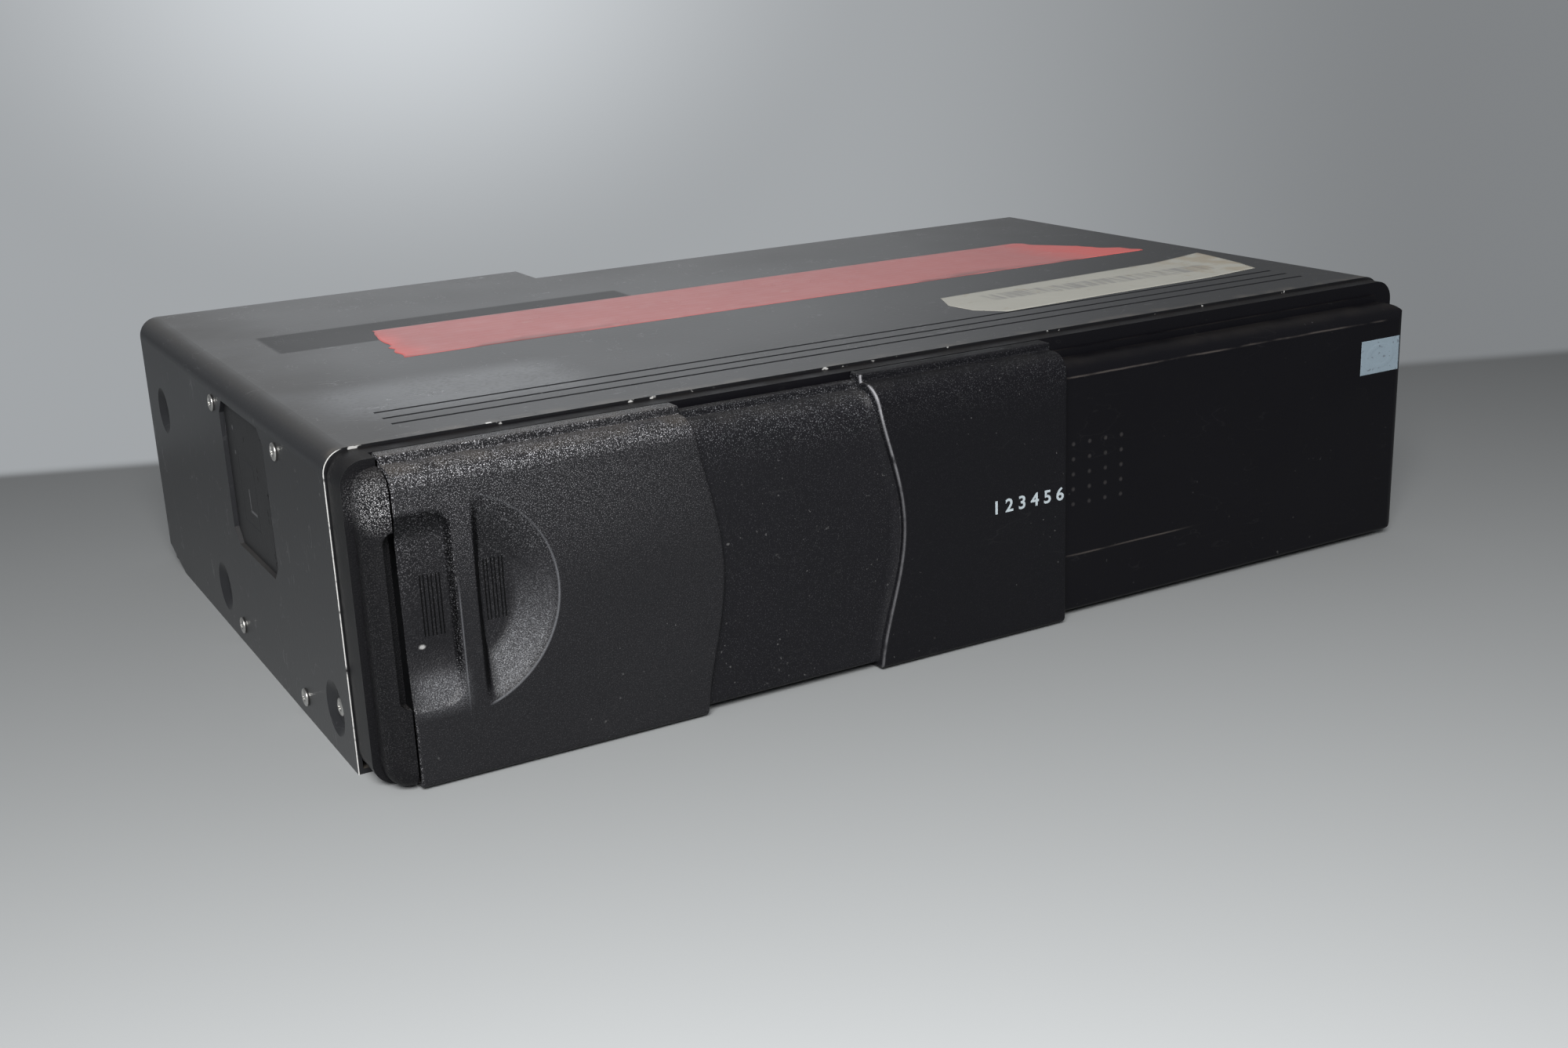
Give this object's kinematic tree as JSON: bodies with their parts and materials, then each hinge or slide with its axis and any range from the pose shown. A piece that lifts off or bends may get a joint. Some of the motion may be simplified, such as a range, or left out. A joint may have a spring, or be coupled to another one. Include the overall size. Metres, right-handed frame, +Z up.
{
  "type": "car cd changer",
  "caption": "Flat steel-cased disc changer for a car boot, with sliding front doors, a removable disc magazine, a lifting playing deck and adjustable angle plates.",
  "frame": {"origin": "middle of the underside, centred on the bounding box", "axes": "+X to the right along the front, +Y from the front face to the back, +Z up"},
  "size_m": [0.2566, 0.168, 0.061],
  "materials": {
    "case_steel": "satin",
    "front_plastic": "fine grain",
    "door_plastic": "sparkling fine grain",
    "screw_zinc": "zinc plated",
    "plate_plastic": "smooth",
    "frame_steel": "zinc plated",
    "damper_rubber": "matte",
    "spring_steel": "bright",
    "board_green": "solder mask",
    "chip_epoxy": "matte",
    "contact_brass": "plated",
    "magazine_plastic": "matte",
    "tray_plastic": "matte",
    "motor_can": "bright",
    "gear_plastic": "smooth",
    "lens_glass": "coated"
  },
  "bodies": {
    "case": {"top_cover": "case_steel", "bottom_cover": "case_steel", "rear_panel": "case_steel", "front_bezel": "front_plastic", "case_screws": "screw_zinc", "angle_plate_left": "plate_plastic", "angle_plate_right": "plate_plastic", "mech_frame": "frame_steel", "rubber_dampers": "damper_rubber", "suspension_springs": "spring_steel", "main_board": "board_green", "board_chips": "chip_epoxy", "board_screws": "screw_zinc", "rear_connector": "plate_plastic", "connector_contacts": "contact_brass", "latch_pin": "screw_zinc", "ejector_springs": "spring_steel", "lift_motor": "motor_can"},
    "door_inner": {"door_inner": "door_plastic"},
    "door_outer": {"door_outer": "door_plastic"},
    "magazine": {"magazine_lower": "magazine_plastic", "magazine_upper": "magazine_plastic", "tray_1": "tray_plastic", "tray_2": "tray_plastic", "tray_3": "tray_plastic", "tray_4": "tray_plastic", "tray_5": "tray_plastic", "tray_6": "tray_plastic"},
    "ejector": {"ejector_slide": "gear_plastic"},
    "eject_button": {"eject_button": "plate_plastic"},
    "latch_lever": {"latch_lever": "gear_plastic"},
    "lift_cams": {"lift_cam_front": "frame_steel", "lift_cam_back": "frame_steel"},
    "lift_shaft": {"lift_shaft": "screw_zinc", "lift_pinions": "gear_plastic"},
    "deck": {"deck_plate": "frame_steel", "deck_pins": "screw_zinc", "spindle_motor": "motor_can", "guide_rod": "screw_zinc", "sled_motor": "motor_can"},
    "turntable": {"turntable": "gear_plastic"},
    "pickup": {"pickup_base": "gear_plastic", "pickup_lens": "lens_glass"},
    "sled_screw": {"sled_screw": "screw_zinc"},
    "clamp_arm": {"clamp_arm": "frame_steel"},
    "clamp_puck": {"clamp_puck": "gear_plastic"},
    "adjuster_left": {"angle_adjuster_left": "plate_plastic"},
    "adjuster_right": {"angle_adjuster_right": "plate_plastic"}
  },
  "joints": [
    {"name": "door_inner_slide", "type": "slide", "parent": "case", "child": "door_inner", "axis": [1, 0, 0], "range_m": [0, 0.095]},
    {"name": "door_outer_slide", "type": "slide", "parent": "door_inner", "child": "door_outer", "axis": [1, 0, 0], "range_m": [0, 0.039]},
    {"name": "magazine_eject", "type": "slide", "parent": "case", "child": "magazine", "axis": [0, -1, 0], "range_m": [0, 0.008]},
    {"name": "ejector_push", "type": "slide", "parent": "case", "child": "ejector", "axis": [0, -1, 0], "range_m": [0, 0.008]},
    {"name": "eject_button_press", "type": "slide", "parent": "case", "child": "eject_button", "axis": [0, 1, 0], "range_m": [0, 0.002]},
    {"name": "latch_turn", "type": "hinge", "parent": "case", "child": "latch_lever", "pos_m": [0.0167, -0.0598, 0.0105], "axis": [0, 0, -1], "range_deg": [0, 22]},
    {"name": "deck_lift", "type": "slide", "parent": "case", "child": "deck", "axis": [0, 0, 1], "range_m": [0, 0.0315]},
    {"name": "lift_cam_slide", "type": "slide", "parent": "case", "child": "lift_cams", "axis": [-1, 0, 0], "range_m": [0, 0.03]},
    {"name": "lift_shaft_turn", "type": "hinge", "parent": "case", "child": "lift_shaft", "pos_m": [0.0775, 0, 0.0545], "axis": [0, 1, 0], "range_deg": [0, 382]},
    {"name": "turntable_spin", "type": "hinge", "parent": "deck", "child": "turntable", "pos_m": [0.06, -0.0053, 0.0125], "axis": [0, 0, 1], "continuous": true},
    {"name": "pickup_slide", "type": "slide", "parent": "deck", "child": "pickup", "axis": [0, 1, 0], "range_m": [0, 0.031]},
    {"name": "sled_screw_turn", "type": "hinge", "parent": "deck", "child": "sled_screw", "pos_m": [0.0436, -0.0053, 0.0095], "axis": [0, 1, 0], "range_deg": [0, 5580]},
    {"name": "clamp_arm_lift", "type": "hinge", "parent": "deck", "child": "clamp_arm", "pos_m": [0.06, 0.0518, 0.0171], "axis": [-1, 0, 0], "range_deg": [0, 3.5]},
    {"name": "clamp_puck_spin", "type": "hinge", "parent": "clamp_arm", "child": "clamp_puck", "pos_m": [0.06, -0.0053, 0.0171], "axis": [0, 0, 1], "continuous": true},
    {"name": "angle_adjuster_left_slide", "type": "slide", "parent": "case", "child": "adjuster_left", "axis": [0, 0, -1], "range_m": [0, 0.016]},
    {"name": "angle_adjuster_right_slide", "type": "slide", "parent": "case", "child": "adjuster_right", "axis": [0, 0, -1], "range_m": [0, 0.016]}
  ],
  "couplings": [
    {"joint": "ejector_push", "follows": "magazine_eject", "ratio": 1},
    {"joint": "eject_button_press", "follows": "magazine_eject", "ratio": 0.25},
    {"joint": "latch_turn", "follows": "magazine_eject", "rad_per_m": 47.9},
    {"joint": "lift_cam_slide", "follows": "deck_lift", "ratio": 0.95238},
    {"joint": "lift_shaft_turn", "follows": "deck_lift", "rad_per_m": 211.64},
    {"joint": "sled_screw_turn", "follows": "pickup_slide", "rad_per_m": 3141.5}
  ]
}
